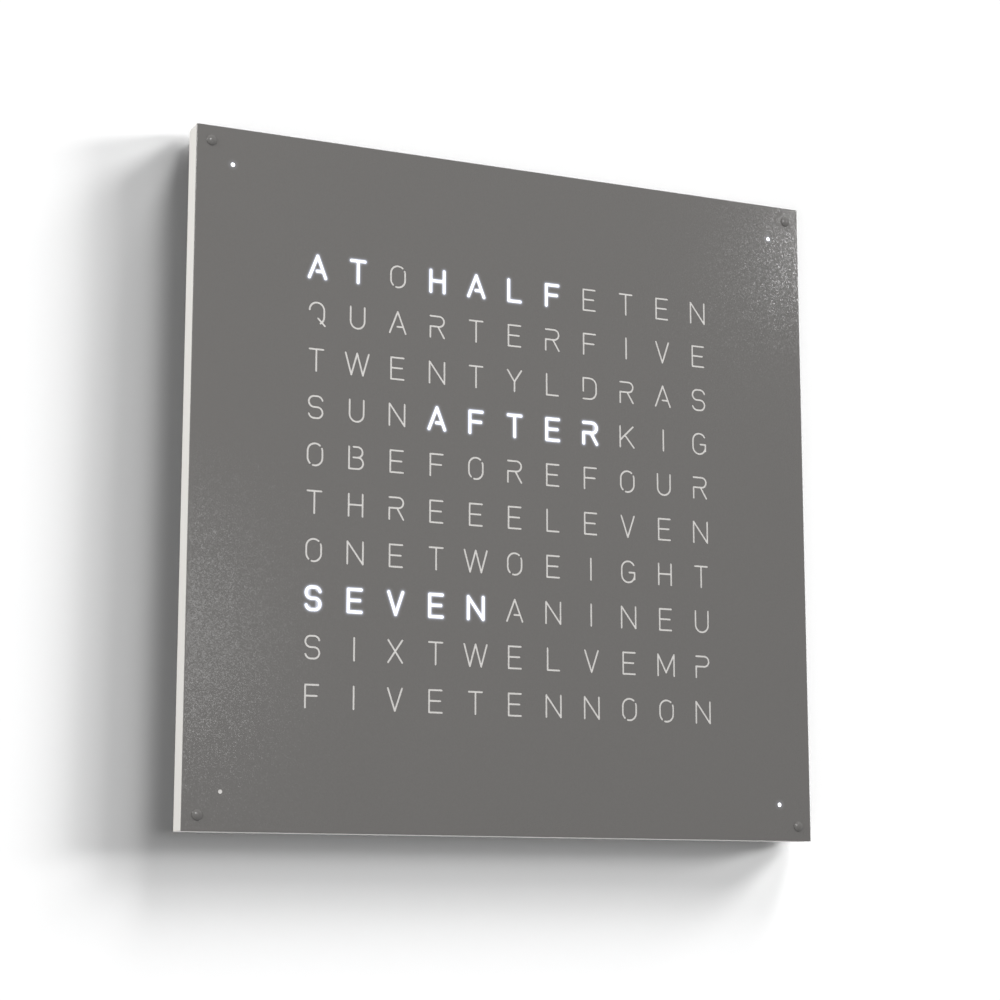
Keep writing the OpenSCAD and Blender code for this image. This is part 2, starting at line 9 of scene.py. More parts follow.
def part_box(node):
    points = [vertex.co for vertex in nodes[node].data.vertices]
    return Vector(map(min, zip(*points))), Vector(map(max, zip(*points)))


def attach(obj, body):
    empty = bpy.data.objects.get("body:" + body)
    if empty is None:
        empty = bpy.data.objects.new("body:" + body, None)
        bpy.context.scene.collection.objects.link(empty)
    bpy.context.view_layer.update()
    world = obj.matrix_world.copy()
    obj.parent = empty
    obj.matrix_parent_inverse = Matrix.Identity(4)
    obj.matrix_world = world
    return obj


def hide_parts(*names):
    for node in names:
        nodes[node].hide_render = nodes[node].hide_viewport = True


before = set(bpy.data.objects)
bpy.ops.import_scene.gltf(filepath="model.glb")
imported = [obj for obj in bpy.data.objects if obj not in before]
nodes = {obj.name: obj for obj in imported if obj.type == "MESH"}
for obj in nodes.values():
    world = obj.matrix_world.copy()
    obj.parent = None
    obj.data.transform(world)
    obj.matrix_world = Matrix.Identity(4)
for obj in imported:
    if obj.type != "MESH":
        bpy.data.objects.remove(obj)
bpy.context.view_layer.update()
mm = 0.001


# ---- Back panel -------------------------------------------------------------
# A sheet of brown hardboard that closes the case and stands it off the wall. It is
# pressed from wood fibre, sawn to size, and screwed on from behind.

def linear(hex_colour):
    """Turns an sRGB hex colour into the linear colour that a socket takes."""
    channels = [int(hex_colour[i:i + 2], 16) / 255 for i in (1, 3, 5)]
    return [c / 12.92 if c <= 0.04045 else ((c + 0.055) / 1.055) ** 2.4 for c in channels] + [1]


def add_node(tree, kind, inputs=None, **settings):
    """Adds a node; inputs are values or other nodes' sockets, settings its properties."""
    made = tree.nodes.new("ShaderNode" + kind)
    for name, value in settings.items():
        setattr(made, name, value)
    for name, value in (inputs or {}).items():
        if isinstance(value, bpy.types.NodeSocket):
            tree.links.new(value, made.inputs[name])
        else:
            made.inputs[name].default_value = value
    return made


def start_material(name, shader_values):
    """Starts a material: gives its tree, its shader and its place on the object."""
    material = bpy.data.materials.new(name)
    material.use_nodes = True
    tree = material.node_tree
    shader = tree.nodes["Principled BSDF"]
    for socket, value in shader_values.items():
        shader.inputs[socket].default_value = value
    place = add_node(tree, "TexCoord").outputs["Object"]
    return material, tree, shader, place


def finish_nodes(material, *names):
    """Gives CAD nodes that material in every slot they have."""
    for name in names:
        slots = nodes[name].data.materials
        slots.clear()
        slots.append(material)


# Smooth side of tempered hardboard: dark brown, clouded and mottled, with a low sheen
hardboard_cloud = 45 * mm
hardboard_fibre = 3 * mm
hardboard_fleck = 1.2 * mm      # real fibres are 0.3 mm across; drawn so that they show
hardboard, tree, shader, place = start_material("hardboard", {"Roughness": 0.58})
mottle = add_node(tree, "TexNoise", {"Vector": place, "Scale": 1 / hardboard_fibre, "Detail": 4})
fleck = add_node(tree, "TexNoise", {"Vector": place, "Scale": 1 / hardboard_fleck, "Detail": 2})
fleck_cut = add_node(tree, "MapRange", {
    "Value": fleck.outputs["Fac"], "From Min": 0.54, "From Max": 0.68})
brown = add_node(tree, "MixRGB", {
    "Fac": mottle.outputs["Fac"], "Color1": linear("#4d3b2c"), "Color2": linear("#6f5843")})
cloud = add_node(tree, "TexNoise", {"Vector": place, "Scale": 1 / hardboard_cloud, "Detail": 3})
shade = add_node(tree, "MapRange", {
    "Value": cloud.outputs["Fac"], "From Min": 0.3, "From Max": 0.7, "To Min": 0.86,
    "To Max": 1.1})
clouded = add_node(tree, "MixRGB", {
    "Fac": 1, "Color1": brown.outputs["Color"], "Color2": shade.outputs["Result"]},
    blend_type="MULTIPLY")
flecked = add_node(tree, "MixRGB", {
    "Fac": fleck_cut.outputs["Result"], "Color1": clouded.outputs["Color"],
    "Color2": linear("#80684f")})
weave_bump = add_node(tree, "Bump", {
    "Height": fleck.outputs["Fac"], "Strength": 0.25, "Distance": 0.1 * mm})
tree.links.new(flecked.outputs["Color"], shader.inputs["Base Color"])
tree.links.new(weave_bump.outputs["Normal"], shader.inputs["Normal"])
finish_nodes(hardboard, "back_panel")


# ---- Screws and keyhole plates ----------------------------------------------
# Countersunk screws hold the panel, and two pressed steel plates with keyholes take
# the wall screws. All are zinc plated, which leaves a cool, slightly cloudy bright grey.

plating_cloud = 4 * mm
plating_grain = 0.8 * mm
zinc_steel, tree, shader, place = start_material("zinc_plated_steel", {"Metallic": 1})
cloud = add_node(tree, "TexNoise", {"Vector": place, "Scale": 1 / plating_cloud, "Detail": 3})
grain = add_node(tree, "TexNoise", {"Vector": place, "Scale": 1 / plating_grain, "Detail": 2})
plating = add_node(tree, "MixRGB", {
    "Fac": cloud.outputs["Fac"], "Color1": linear("#a9aeb6"), "Color2": linear("#cdd0d2")})
polish = add_node(tree, "MapRange", {
    "Value": cloud.outputs["Fac"], "To Min": 0.26, "To Max": 0.42})
grain_bump = add_node(tree, "Bump", {
    "Height": grain.outputs["Fac"], "Strength": 0.12, "Distance": 0.05 * mm})
tree.links.new(plating.outputs["Color"], shader.inputs["Base Color"])
tree.links.new(polish.outputs["Result"], shader.inputs["Roughness"])
tree.links.new(grain_bump.outputs["Normal"], shader.inputs["Normal"])
finish_nodes(zinc_steel, "panel_screws", "control_screws", "keyhole_plates", "keyhole_screws")


# ---- Case -------------------------------------------------------------------
# Medium-density fibreboard, milled from behind and sprayed with satin white lacquer,
# which fills the fibres and dries with a faint orange peel.

orange_peel = 2.5 * mm
lacquer_patch = 60 * mm
white_lacquer, tree, shader, place = start_material("satin_white_lacquer", {
    "Roughness": 0.34, "IOR": 1.5, "Coat Weight": 0.15, "Coat Roughness": 0.2})
peel = add_node(tree, "TexNoise", {"Vector": place, "Scale": 1 / orange_peel, "Detail": 2})
patch = add_node(tree, "TexNoise", {"Vector": place, "Scale": 1 / lacquer_patch, "Detail": 2})
white = add_node(tree, "MixRGB", {
    "Fac": patch.outputs["Fac"], "Color1": linear("#efece5"), "Color2": linear("#f3f0ea")})
peel_bump = add_node(tree, "Bump", {
    "Height": peel.outputs["Fac"], "Strength": 0.08, "Distance": 0.05 * mm})
tree.links.new(white.outputs["Color"], shader.inputs["Base Color"])
tree.links.new(peel_bump.outputs["Normal"], shader.inputs["Normal"])
finish_nodes(white_lacquer, "housing")


# ---- Magnets, coin cell and other nickel parts ------------------------------
# Pot magnets pressed into the corners, the coin cell, the crystal's can and the jack's
# pin are all nickel plated: warm, bright and finely scratched.

scratch = 0.5 * mm
nickel, tree, shader, place = start_material("nickel_plate", {
    "Metallic": 1, "Base Color": linear("#c9c5bc")})
stretched = add_node(tree, "Mapping", {"Vector": place, "Scale": (1, 1, 0.08)})
scratches = add_node(tree, "TexNoise", {
    "Vector": stretched.outputs["Vector"], "Scale": 1 / scratch, "Detail": 3})
worn = add_node(tree, "MapRange", {
    "Value": scratches.outputs["Fac"], "To Min": 0.14, "To Max": 0.34})
scratch_bump = add_node(tree, "Bump", {
    "Height": scratches.outputs["Fac"], "Strength": 0.08, "Distance": 0.02 * mm})
tree.links.new(worn.outputs["Result"], shader.inputs["Roughness"])
tree.links.new(scratch_bump.outputs["Normal"], shader.inputs["Normal"])
finish_nodes(nickel, "stud_magnets", "coin_cell", "quartz_crystal", "jack_pin")


# ---- Lamp boards ------------------------------------------------------------
# Glass-fibre circuit boards under white solder mask, so that they throw light back.
# Copper tracks stand up a little below the mask, in rows behind the lamps.

track_pitch = 1.9 * mm
wave_repeat = 0.314     # a wave texture repeats every wave_repeat / scale
white_board, tree, shader, place = start_material("white_solder_mask", {
    "Roughness": 0.38, "Coat Weight": 0.3, "Coat Roughness": 0.15})
tracks = add_node(tree, "TexWave", {
    "Vector": place, "Scale": wave_repeat / track_pitch, "Distortion": 0}, bands_direction="Z")
raised = add_node(tree, "MapRange", {
    "Value": tracks.outputs["Fac"], "From Min": 0.45, "From Max": 0.6})
mask_white = add_node(tree, "MixRGB", {
    "Fac": raised.outputs["Result"], "Color1": linear("#dedfd9"), "Color2": linear("#e9e9e4")})
track_bump = add_node(tree, "Bump", {
    "Height": raised.outputs["Result"], "Strength": 0.3, "Distance": 0.035 * mm})
tree.links.new(mask_white.outputs["Color"], shader.inputs["Base Color"])
tree.links.new(track_bump.outputs["Normal"], shader.inputs["Normal"])
finish_nodes(white_board, "led_board", "minute_boards")


# ---- Lamps ------------------------------------------------------------------
# Surface-mount lamps, one behind each letter and one behind each minute dot: a moulded
# white frame round a dish of yellow phosphor, which glows white where it is switched on.

columns = 11
rows = 10
lamp_w = 5 * mm
lamp_lo, lamp_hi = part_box("leds")
column_pitch = (lamp_hi.x - lamp_lo.x - lamp_w) / (columns - 1)
row_pitch = (lamp_hi.z - lamp_lo.z - lamp_w) / (rows - 1)
first_x = lamp_lo.x + lamp_w / 2
first_z = lamp_hi.z - lamp_w / 2
dish_depth = 0.3 * mm
dish_margin = 0.06 * mm
phosphor_grain = 0.4 * mm
lamp_glow = 12.0
# Letters that are switched on: the row, then the first and the last letter in it
lit_runs = [(0, 0, 1), (0, 3, 6), (3, 3, 7), (7, 0, 4)]


def lit_letters(tree, place):
    """1 in front of and behind each letter that is switched on, and 0 elsewhere."""
    spot = add_node(tree, "SeparateXYZ", {"Vector": place}).outputs
    total = 0.0
    for row, first, last in lit_runs:
        middle = first_x + (first + last) / 2 * column_pitch
        half = (last - first + 1) / 2 * column_pitch
        across = add_node(tree, "Math", {0: spot["X"], 1: middle, 2: half}, operation="COMPARE")
        level = add_node(tree, "Math", {
            0: spot["Z"], 1: first_z - row * row_pitch, 2: row_pitch / 2}, operation="COMPARE")
        total = add_node(tree, "Math", {
            0: across.outputs["Value"], 1: level.outputs["Value"], 2: total},
            operation="MULTIPLY_ADD").outputs["Value"]
    return total


def lit_minutes(tree, place):
    """1 at each minute dot that is switched on: all but the one at the lower left."""
    spot = add_node(tree, "SeparateXYZ", {"Vector": place}).outputs
    right = add_node(tree, "Math", {0: spot["X"], 1: 0.0}, operation="GREATER_THAN")
    upper = add_node(tree, "Math", {0: spot["Z"], 1: 0.0}, operation="GREATER_THAN")
    either = add_node(tree, "Math", {
        0: right.outputs["Value"], 1: upper.outputs["Value"]}, operation="MAXIMUM")
    return either.outputs["Value"]


def lamp_material(name, dish_front, lit):
    """Frame of moulded white plastic, and phosphor wherever the lamp's dish lies."""
    material, tree, shader, place = start_material(name, {
        "Roughness": 0.4, "Emission Color": linear("#f4f6ff")})
    depth = add_node(tree, "SeparateXYZ", {"Vector": place}).outputs["Y"]
    dish = add_node(tree, "Math", {
        0: depth, 1: dish_front, 2: dish_margin}, operation="COMPARE").outputs["Value"]
    phosphor = add_node(tree, "TexNoise", {
        "Vector": place, "Scale": 1 / phosphor_grain, "Detail": 1})
    yellow = add_node(tree, "MixRGB", {
        "Fac": phosphor.outputs["Fac"], "Color1": linear("#d9b33c"), "Color2": linear("#efd067")})
    colour = add_node(tree, "MixRGB", {
        "Fac": dish, "Color1": linear("#eceae3"), "Color2": yellow.outputs["Color"]})
    glow = add_node(tree, "Math", {0: dish, 1: lit(tree, place)}, operation="MULTIPLY")
    strength = add_node(tree, "Math", {
        0: glow.outputs["Value"], 1: lamp_glow}, operation="MULTIPLY")
    tree.links.new(colour.outputs["Color"], shader.inputs["Base Color"])
    tree.links.new(strength.outputs["Value"], shader.inputs["Emission Strength"])
    return material


finish_nodes(lamp_material("letter_lamp", lamp_lo.y + dish_depth, lit_letters), "leds")
minute_lo, minute_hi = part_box("minute_leds")
finish_nodes(lamp_material("minute_lamp", minute_lo.y + dish_depth, lit_minutes), "minute_leds")


# ---- Wires and flat cables --------------------------------------------------
# The flat wires of the minute lamps and the two ribbon cables, in extruded grey vinyl
# with one rib over each conductor.

rib_pitch = 1.27 * mm
cable_jacket, tree, shader, place = start_material("ribbed_grey_vinyl", {"Roughness": 0.45})
ribs = add_node(tree, "TexWave", {
    "Vector": place, "Scale": wave_repeat / rib_pitch, "Distortion": 0}, bands_direction="X")
# Painted shade and light: the grey is darker in the grooves between the ribs and lighter on their
# crests
painted_rib_shade = add_node(tree, "MixRGB", {
    "Fac": ribs.outputs["Fac"], "Color1": linear("#9fa0a0"), "Color2": linear("#c3c3c1")})
rib_bump = add_node(tree, "Bump", {
    "Height": ribs.outputs["Fac"], "Strength": 0.6, "Distance": 0.2 * mm})
tree.links.new(painted_rib_shade.outputs["Color"], shader.inputs["Base Color"])
tree.links.new(rib_bump.outputs["Normal"], shader.inputs["Normal"])
finish_nodes(cable_jacket, "minute_wires", "led_ribbon", "button_cable")


# ---- Light well panel -------------------------------------------------------
# One injection moulding in matt white polystyrene, with a cone behind every letter.
# The mould was spark-eroded, which leaves a fine even grain.

spark_grain = 0.9 * mm      # the real grain is 0.1 mm; drawn so that it shows
flow_mark = 40 * mm
moulded_white, tree, shader, place = start_material("moulded_white_polystyrene", {
    "Roughness": 0.55, "IOR": 1.59})
grain = add_node(tree, "TexNoise", {"Vector": place, "Scale": 1 / spark_grain, "Detail": 2})
flow = add_node(tree, "TexNoise", {"Vector": place, "Scale": 1 / flow_mark, "Detail": 1})
milky = add_node(tree, "MixRGB", {
    "Fac": flow.outputs["Fac"], "Color1": linear("#eceae4"), "Color2": linear("#f4f3ef")})
grain_bump = add_node(tree, "Bump", {
    "Height": grain.outputs["Fac"], "Strength": 0.2, "Distance": 0.05 * mm})
tree.links.new(milky.outputs["Color"], shader.inputs["Base Color"])
tree.links.new(grain_bump.outputs["Normal"], shader.inputs["Normal"])
finish_nodes(moulded_white, "light_well_panel")


# ---- Control board and button board -----------------------------------------
# Glass-fibre boards under green solder mask, with paler green where copper lies below.
# Chips, sockets, switches and the jack are soldered on, and so is one aluminium can.

copper_patch = 2.2 * mm
green_board, tree, shader, place = start_material("green_solder_mask", {
    "Roughness": 0.35, "Coat Weight": 0.4, "Coat Roughness": 0.12})
layout = add_node(tree, "TexVoronoi", {
    "Vector": place, "Scale": 1 / copper_patch}, distance="MANHATTAN")
copper = add_node(tree, "MapRange", {
    "Value": layout.outputs["Distance"], "From Min": 0.42, "From Max": 0.5})
green = add_node(tree, "MixRGB", {
    "Fac": copper.outputs["Result"], "Color1": linear("#1d5a3c"), "Color2": linear("#27734c")})
copper_bump = add_node(tree, "Bump", {
    "Height": copper.outputs["Result"], "Strength": 0.3, "Distance": 0.035 * mm})
tree.links.new(green.outputs["Color"], shader.inputs["Base Color"])
tree.links.new(copper_bump.outputs["Normal"], shader.inputs["Normal"])
finish_nodes(green_board, "control_board", "button_board")

# Chips, sockets, switches and the jack are moulded in black, finely grained plastic
mould_grain = 0.5 * mm
black_plastic, tree, shader, place = start_material("moulded_black_nylon", {"Roughness": 0.48})
grain = add_node(tree, "TexNoise", {"Vector": place, "Scale": 1 / mould_grain, "Detail": 2})
black = add_node(tree, "MixRGB", {
    "Fac": grain.outputs["Fac"], "Color1": linear("#1a1a1d"), "Color2": linear("#27272b")})
grain_bump = add_node(tree, "Bump", {
    "Height": grain.outputs["Fac"], "Strength": 0.25, "Distance": 0.04 * mm})
tree.links.new(black.outputs["Color"], shader.inputs["Base Color"])
tree.links.new(grain_bump.outputs["Normal"], shader.inputs["Normal"])
finish_nodes(
    black_plastic, "microcontroller", "voltage_regulator", "coin_cell_holder", "power_jack",
    "ribbon_sockets", "switch_bodies", "hours_plunger", "minutes_plunger", "mode_plunger",
    "brightness_plunger")

# The capacitor's can is drawn from aluminium, which leaves fine lines along it
draw_line = 0.3 * mm
aluminium_can, tree, shader, place = start_material("drawn_aluminium", {
    "Metallic": 1, "Base Color": linear("#c4c7ca")})
along = add_node(tree, "Mapping", {"Vector": place, "Scale": (1, 1, 0.05)})
lines = add_node(tree, "TexNoise", {
    "Vector": along.outputs["Vector"], "Scale": 1 / draw_line, "Detail": 2})
drawn = add_node(tree, "MapRange", {
    "Value": lines.outputs["Fac"], "To Min": 0.22, "To Max": 0.4})
tree.links.new(drawn.outputs["Result"], shader.inputs["Roughness"])
finish_nodes(aluminium_can, "smoothing_capacitor")


# ---- Push buttons -----------------------------------------------------------
# Four turned stainless steel buttons in the right-hand side. The lathe leaves fine
# rings round each button's own axis, so the rings repeat with the buttons.

tool_mark = 0.35 * mm       # real feed marks are 0.05 mm apart; drawn so that they show
first_lo, first_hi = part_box("hours_button")
next_lo, next_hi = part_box("minutes_button")
button_axis = (first_lo + first_hi) / 2
button_pitch = first_hi.z - next_hi.z
button_steel, tree, shader, place = start_material("turned_stainless_steel", {
    "Metallic": 1, "Base Color": linear("#a6a8a9")})
spot = add_node(tree, "SeparateXYZ", {"Vector": place}).outputs
height = add_node(tree, "Math", {
    0: spot["Z"], 1: button_axis.z + button_pitch / 2}, operation="SUBTRACT")
wrapped = add_node(tree, "Math", {
    0: height.outputs["Value"], 1: 0.0, 2: -button_pitch}, operation="WRAP")
centred = add_node(tree, "Math", {
    0: wrapped.outputs["Value"], 1: button_pitch / 2}, operation="ADD")
aside = add_node(tree, "Math", {0: spot["Y"], 1: button_axis.y}, operation="SUBTRACT")
about_axis = add_node(tree, "CombineXYZ", {
    "X": spot["X"], "Y": aside.outputs["Value"], "Z": centred.outputs["Value"]})
rings = add_node(tree, "TexWave", {
    "Vector": about_axis.outputs["Vector"], "Scale": wave_repeat / tool_mark, "Distortion": 0.3},
    wave_type="RINGS", rings_direction="X")
turned = add_node(tree, "MapRange", {
    "Value": rings.outputs["Fac"], "To Min": 0.2, "To Max": 0.36})
ring_bump = add_node(tree, "Bump", {
    "Height": rings.outputs["Fac"], "Strength": 0.15, "Distance": 0.03 * mm})
tree.links.new(turned.outputs["Result"], shader.inputs["Roughness"])
tree.links.new(ring_bump.outputs["Normal"], shader.inputs["Normal"])
finish_nodes(button_steel, "hours_button", "minutes_button", "mode_button", "brightness_button")


# ---- Letters ----------------------------------------------------------------
# Every letter is drawn with strokes of one width, and each ring in a letter is opened
# by a gap, as a stencil needs. Strokes are written in millimetres from the letter's
# middle, and the words tell the time in plain English.

words = [
    "ATOHALFETEN",
    "QUARTERFIVE",
    "TWENTYLDRAS",
    "SUNAFTERKIG",
    "OBEFOREFOUR",
    "THREEELEVEN",
    "ONETWOEIGHT",
    "SEVENANINEU",
    "SIXTWELVEMP",
    "FIVETENNOON",
]
stroke_w = 1.3
top = 7.2
waist = 0.25
arc_step = 15


def bend(x, y, radius, start, end):
    """Points on an arc about (x, y), from one angle to another in degrees."""
    count = max(2, round(abs(end - start) / arc_step))
    angles = [math.radians(start + (end - start) * i / count) for i in range(count + 1)]
    return [(x + radius * math.cos(a), y + radius * math.sin(a)) for a in angles]


def bowl(left, right, upper, lower):
    """A bar out to the right, a half round down, and a bar back to the left."""
    radius = (upper - lower) / 2
    return [(left, upper)] + bend(right - radius, lower + radius, radius, 90, -90) + [(left, lower)]


def ring(half, start, end):
    """Part of an upright ring with straight sides, anticlockwise between two angles."""
    path = []
    rise = top - half
    for first, last, y in ((0, 180, rise), (180, 360, -rise), (360, 540, rise)):
        if start < last and end > first:
            path += bend(0, y, half, max(start, first), min(end, last))
    return path


def letter_strokes():
    """The strokes of every letter in the words, each a list of points."""
    # Half the widths of E, O, P and U, which the letters like them share
    e, o, p, u = 4.45, 5.05, 4.9, 4.9
    a_bar = -2.9
    a_foot = 5.65
    lobe = (waist + top) / 2
    s_reach, s_radius = 1.15, top / 2
    s_upper = bend(s_reach, s_radius, s_radius, 15, 90)
    s_upper += bend(-s_reach, s_radius, s_radius, 90, 270)
    s_lower = bend(s_reach, -s_radius, s_radius, 90, -90)
    s_tail = bend(-s_reach, -s_radius, s_radius, -90, -165)
    return {
        "A": [[(-a_foot, -top), (0, top)], [(0, top), (a_foot, -top)],
              [(-0.3, a_bar), (3.95, a_bar)]],
        "B": [[(-p, top), (-p, -top)], bowl(-1.9, 4.4, top, waist),
              [(0.9, waist)] + bend(p - lobe, waist - lobe, lobe, 90, -90) + [(-p, -top)]],
        "D": [[(-p, top), (-p, -1.9)],
              [(-p, top)] + bend(0, 2.3, p, 90, 0) + bend(0, -2.3, p, 0, -90) + [(-p, -top)]],
        "E": [[(-e, top), (-e, -top)], [(-e, top), (e, top)], [(-e, waist), (3.4, waist)],
              [(-e, -top), (e, -top)]],
        "F": [[(-e, top), (-e, -top)], [(-e, top), (e, top)], [(-e, waist), (3.4, waist)]],
        "G": [ring(p, 30, 360), [(p, 2.3 - top), (p, -0.4)], [(p, -0.4), (0.9, -0.4)]],
        "H": [[(-4.8, top), (-4.8, -top)], [(4.8, top), (4.8, -top)],
              [(-4.8, waist), (4.8, waist)]],
        "I": [[(0, top), (0, -top)]],
        "K": [[(-5.2, top), (-5.2, -top)], [(-5.2, -2.4), (4.7, top)], [(-1.5, 1.0), (5.3, -top)]],
        "L": [[(-4.3, top), (-4.3, -top)], [(-4.3, -top), (4.3, -top)]],
        "M": [[(-6.15, -top), (-6.15, top)], [(-6.15, top), (0, -5.0)], [(0, -5.0), (6.15, top)],
              [(6.15, top), (6.15, -top)]],
        "N": [[(-5.35, -top), (-5.35, top)], [(-5.35, top), (5.35, -top)],
              [(5.35, -top), (5.35, top)]],
        "O": [ring(o, 50, 226), ring(o, 254, 382)],
        "P": [bowl(-p, p, top, waist), [(-p, waist), (-p, -top)]],
        "Q": [ring(o, 300, 612), [(0.9, -3.3), (5.6, -8.0)]],
        "R": [bowl(-p, p, top, waist), [(-p, waist), (-p, -top)], [(0.5, waist), (5.0, -top)]],
        "S": [s_upper + s_lower + s_tail],
        "T": [[(-4.75, top), (4.75, top)], [(0, top), (0, -top)]],
        "U": [[(-u, top)] + bend(0, u - top, u, 180, 360) + [(u, top)]],
        "V": [[(-4.9, top), (0, -top)], [(0, -top), (4.9, top)]],
        "W": [[(-8.1, top), (-4.05, -top)], [(-4.05, -top), (0, top)], [(0, top), (4.05, -top)],
              [(4.05, -top), (8.1, top)]],
        "X": [[(-4.9, top), (4.9, -top)], [(4.9, top), (-4.9, -top)]],
        "Y": [[(-5.1, top), (0, -0.6)], [(5.1, top), (0, -0.6)], [(0, -0.6), (0, -top)]],
    }


def outline(path, radius):
    """The outline of a stroke drawn along a path with a round nib."""
    points = [Vector(p) for p in path]
    steps = [(b - a).normalized() for a, b in zip(points, points[1:])]
    ways = [steps[0]] + [(a + b).normalized() for a, b in zip(steps, steps[1:])] + [steps[-1]]
    sides = [Vector((-w.y, w.x)) * radius for w in ways]
    start_angle = math.degrees(math.atan2(sides[0].y, sides[0].x))
    end_angle = math.degrees(math.atan2(-sides[-1].y, -sides[-1].x))
    end_cap = bend(*points[-1], radius, end_angle, end_angle + 180)[1:-1]
    start_cap = bend(*points[0], radius, start_angle, start_angle + 180)[1:-1]
    right = [tuple(p - s) for p, s in zip(points, sides)]
    left = [tuple(p + s) for p, s in zip(points, sides)]
    return right + end_cap + left[::-1] + start_cap


def gap_to(path, spot):
    """Distance from a spot to a stroke's path."""
    best = math.inf
    for a, b in zip(path, path[1:]):
        a, b = Vector(a), Vector(b)
        along = min(1, max(0, (spot - a).dot(b - a) / (b - a).length_squared))
        best = min(best, (spot - a - along * (b - a)).length)
    return best


lit_cells = {(row, c) for row, first, last in lit_runs for c in range(first, last + 1)}
shapes = letter_strokes()
cells = []
for row, word in enumerate(words):
    for column, letter in enumerate(word):
        centre = Vector((first_x + column * column_pitch, first_z - row * row_pitch)) / mm
        strokes = [[tuple(centre + Vector(p)) for p in path] for path in shapes[letter]]
        cells.append(((row, column) in lit_cells, centre, strokes))


# ---- Steel cover ------------------------------------------------------------
# Sheet steel with the letters and dots cut through by laser, then powder coated in a
# fine-textured grey. It replaces the plain sheet, hole for hole, and like the letters it
# is drawn in millimetres.

cover_lo, cover_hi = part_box("front_cover")
stud_lo, stud_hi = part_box("cover_studs")
front_y, rear_y = cover_lo.y, cover_hi.y
half_face = cover_hi.x / mm
corner_r = 0.6
chamfer = 0.3
dot_at = (minute_hi.x - lamp_w / 2) / mm
dot_r = 1.4
dot_half = 0.01             # a dot is a stroke of almost no length
stud_head_r = 3.5
stud_at = stud_hi.x / mm - stud_head_r
stud_hole_r = 2.05
# A glow is painted on the coat round each letter that is switched on; it reaches this far, in
# millimetres
painted_glow_rings = [0.3, 0.7, 1.1, 1.6, 2.8]
painted_glow_step = 1.6
painted_glow_fall = 6              # the power by which the painted glow falls off
painted_glow_haze = 0.05           # its faint part, which falls off evenly to the last ring
letter_reach = 14           # a letter and its painted glow lie within this of its middle
leeway = 0.01               # let off when a spot's distance is compared with its ring's


def rounded_square(half, radius):
    """The points of a square with round corners."""
    inner = half - radius
    points = []
    for quarter, (sx, sy) in enumerate(((1, 1), (-1, 1), (-1, -1), (1, -1))):
        points += bend(sx * inner, sy * inner, radius, 90 * quarter, 90 * quarter + 90)
    return points


def divided(path):
    """The same path with points close enough together for the painted glow to follow it."""
    points = [path[0]]
    for a, b in zip(path, path[1:]):
        a, b = Vector(a), Vector(b)
        count = max(1, round((b - a).length / painted_glow_step))
        points += [tuple(a + (b - a) * i / count) for i in range(1, count + 1)]
    return points


spots = []
loops = []


def add_loop(points):
    """Adds a closed loop to the drawing that is cut into triangles."""
    start = len(spots)
    spots.extend(Vector(p) for p in points)
    loops.append(list(range(start, len(spots))))


add_loop(rounded_square(half_face, corner_r))
add_loop(rounded_square(half_face - chamfer, corner_r - chamfer))
corners = [(sx, sy) for sx in (-1, 1) for sy in (-1, 1)]
for sx, sy in corners:
    add_loop(bend(sx * stud_at, sy * stud_at, stud_hole_r, 0, 360 - arc_step))
first_dot = len(loops)
# Dots and letters that are switched on, each with the strength of the glow painted on the coat
# round it
glowing = []
for sx, sy in corners:
    centre = Vector((sx * dot_at, sy * dot_at))
    point = [(centre.x - dot_half, centre.y), (centre.x + dot_half, centre.y)]
    add_loop(outline(point, dot_r))
    if sx > 0 or sy > 0:
        glowing.append((centre, [point], dot_r, 0.1))
first_letter = len(loops)
for lit, centre, strokes in cells:
    for path in strokes:
        add_loop(outline(path, stroke_w / 2))
    if lit:
        glowing.append((centre, strokes, stroke_w / 2, 1.5))
taken = set()               # rounded, so that no two spots coincide
# Spots in rings round them, along which the painted glow fades
for centre, strokes, nib, level in glowing:
    for reach in painted_glow_rings:
        for path in strokes:
            for spot in outline(divided(path), nib + reach):
                cell = (round(spot[0], 2), round(spot[1], 2))
                nearest = min(gap_to(other, Vector(spot)) for other in strokes)
                if nearest > nib + reach - leeway and cell not in taken:
                    taken.add(cell)
                    spots.append(Vector(spot))

merge_gap = 1e-5            # points that lie closer than this become one
flat_spots, _, flat_faces, _, _, face_sources = delaunay_2d_cdt(
    spots, [], loops, 0, merge_gap, True)


def sheet_from(faces, y, thickness):
    """A closed sheet of the given flat faces, from y towards the wall."""
    bm = bmesh.new()
    used = sorted({i for face in faces for i in face})
    made = {i: bm.verts.new((flat_spots[i].x * mm, y, flat_spots[i].y * mm)) for i in used}
    for face in faces:
        bm.faces.new([made[i] for i in face])
    grown = bmesh.ops.extrude_face_region(bm, geom=bm.faces[:], use_keep_orig=True)
    rear = [g for g in grown["geom"] if isinstance(g, bmesh.types.BMVert)]
    bmesh.ops.translate(bm, verts=rear, vec=(0, thickness, 0))
    return bm


def add_piece(name, bm, body, material):
    """Makes an object of a mesh, with its finish, and lets it ride on its body."""
    bmesh.ops.recalc_face_normals(bm, faces=bm.faces[:])
    mesh = bpy.data.meshes.new(name)
    bm.to_mesh(mesh)
    bm.free()
    mesh.materials.append(material)
    piece = bpy.data.objects.new(name, mesh)
    bpy.context.scene.collection.objects.link(piece)
    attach(piece, body)
    return piece


